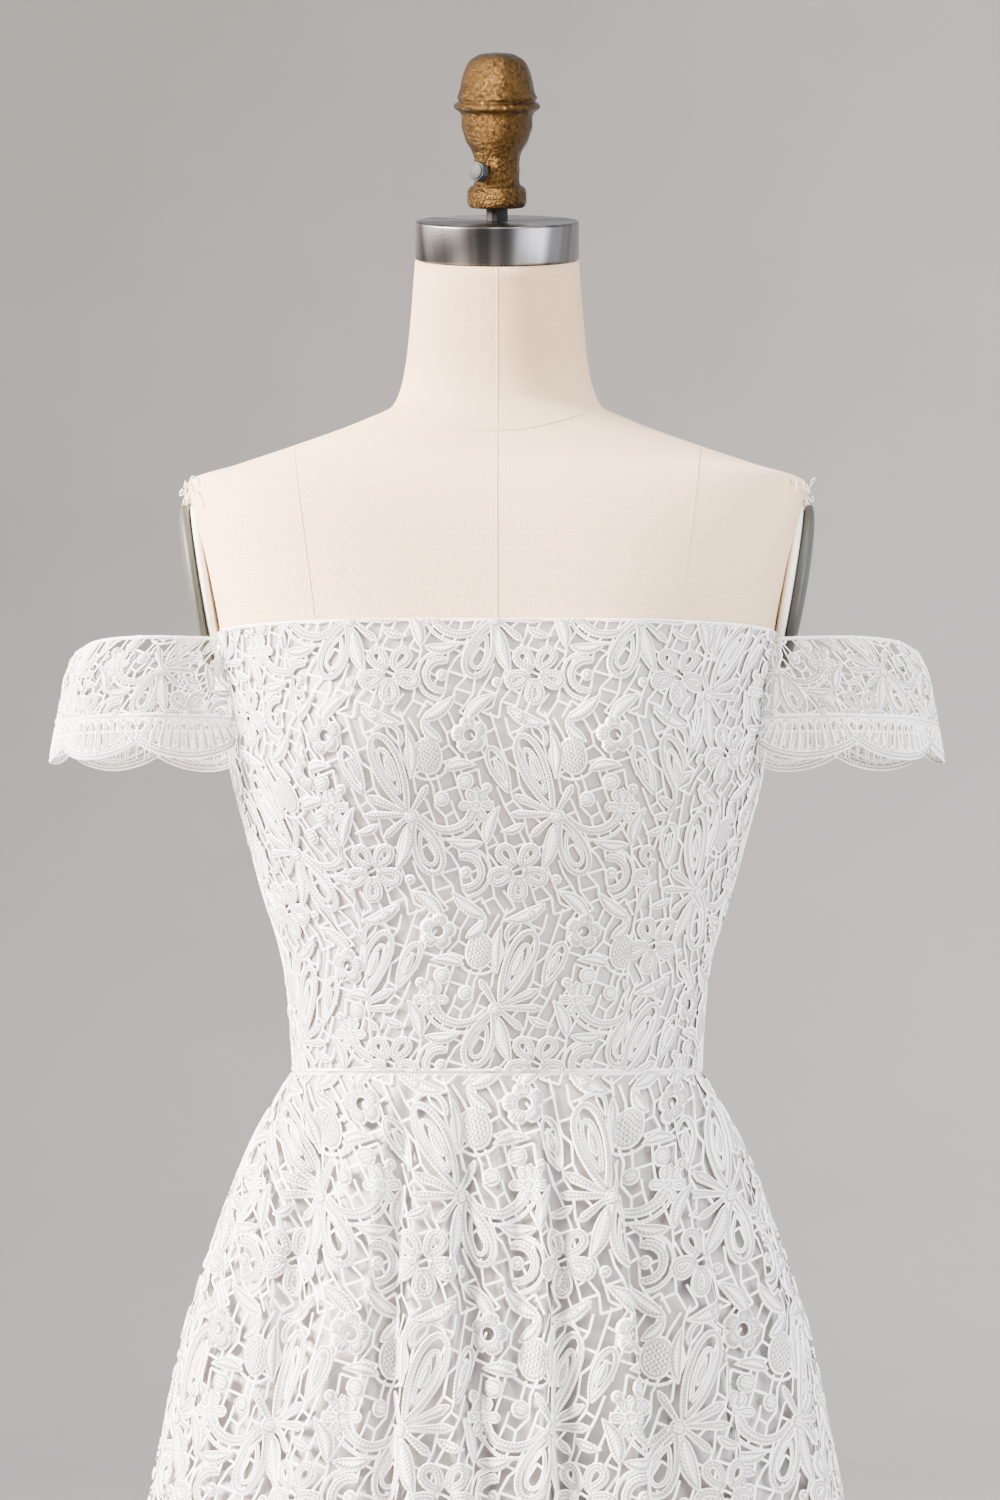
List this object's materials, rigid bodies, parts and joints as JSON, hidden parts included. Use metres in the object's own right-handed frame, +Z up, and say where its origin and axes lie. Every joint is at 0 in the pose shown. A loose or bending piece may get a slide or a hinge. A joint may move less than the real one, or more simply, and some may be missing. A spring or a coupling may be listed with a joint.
{
  "type": "wedding dress on a limbless dress form",
  "caption": "Floor-length off-shoulder white lace wedding dress with a fitted bodice, open sleeve bands and a softly folded skirt, standing on a limbless canvas dress form with a round base.",
  "frame": {"origin": "centre of the stand base's underside, on the floor", "axes": "+Z up along the pole, -Y towards the front of the dress, +X towards its left side as worn"},
  "size_m": [0.6812, 0.6685, 1.6705],
  "materials": {
    "lace": "thick white chemical lace, matt satin stitch",
    "edging": "ribbed scalloped lace edging",
    "lining": "pale satin lining",
    "button": "satin covered",
    "canvas": "cream canvas",
    "arm_plate": "grey green paint",
    "neck_cap": "brushed",
    "stand_iron": "black",
    "finial": "rough cast gold",
    "bolt": "zinc"
  },
  "bodies": {
    "root": {"bodice_centre_front": "lace", "bodice_side_front_left": "lace", "bodice_side_front_right": "lace", "bodice_side_back_left": "lace", "bodice_side_back_right": "lace", "bodice_centre_back_left": "lace", "bodice_centre_back_right": "lace", "lining_centre_front": "lining", "lining_side_front_left": "lining", "lining_side_front_right": "lining", "lining_side_back_left": "lining", "lining_side_back_right": "lining", "lining_centre_back_left": "lining", "lining_centre_back_right": "lining", "skirt_front": "lace", "lining_skirt_front": "lining", "skirt_back_left": "lace", "lining_skirt_back_left": "lining", "skirt_back_right": "lace", "lining_skirt_back_right": "lining", "sleeve_left_front": "lace", "edging_left_front": "edging", "sleeve_left_back": "lace", "edging_left_back": "edging", "sleeve_right_front": "lace", "edging_right_front": "edging", "sleeve_right_back": "lace", "edging_right_back": "edging", "button_1": "button", "button_2": "button", "button_3": "button", "button_4": "button", "button_5": "button", "button_6": "button", "button_7": "button", "button_8": "button", "button_9": "button", "form_torso": "canvas", "form_arm_plate_left": "arm_plate", "form_arm_plate_right": "arm_plate", "form_neck_cap": "neck_cap", "form_post": "stand_iron", "form_finial": "finial", "form_bolt": "bolt", "stand_base": "stand_iron", "stand_pole": "stand_iron", "stand_socket": "stand_iron"}
  },
  "joints": []
}
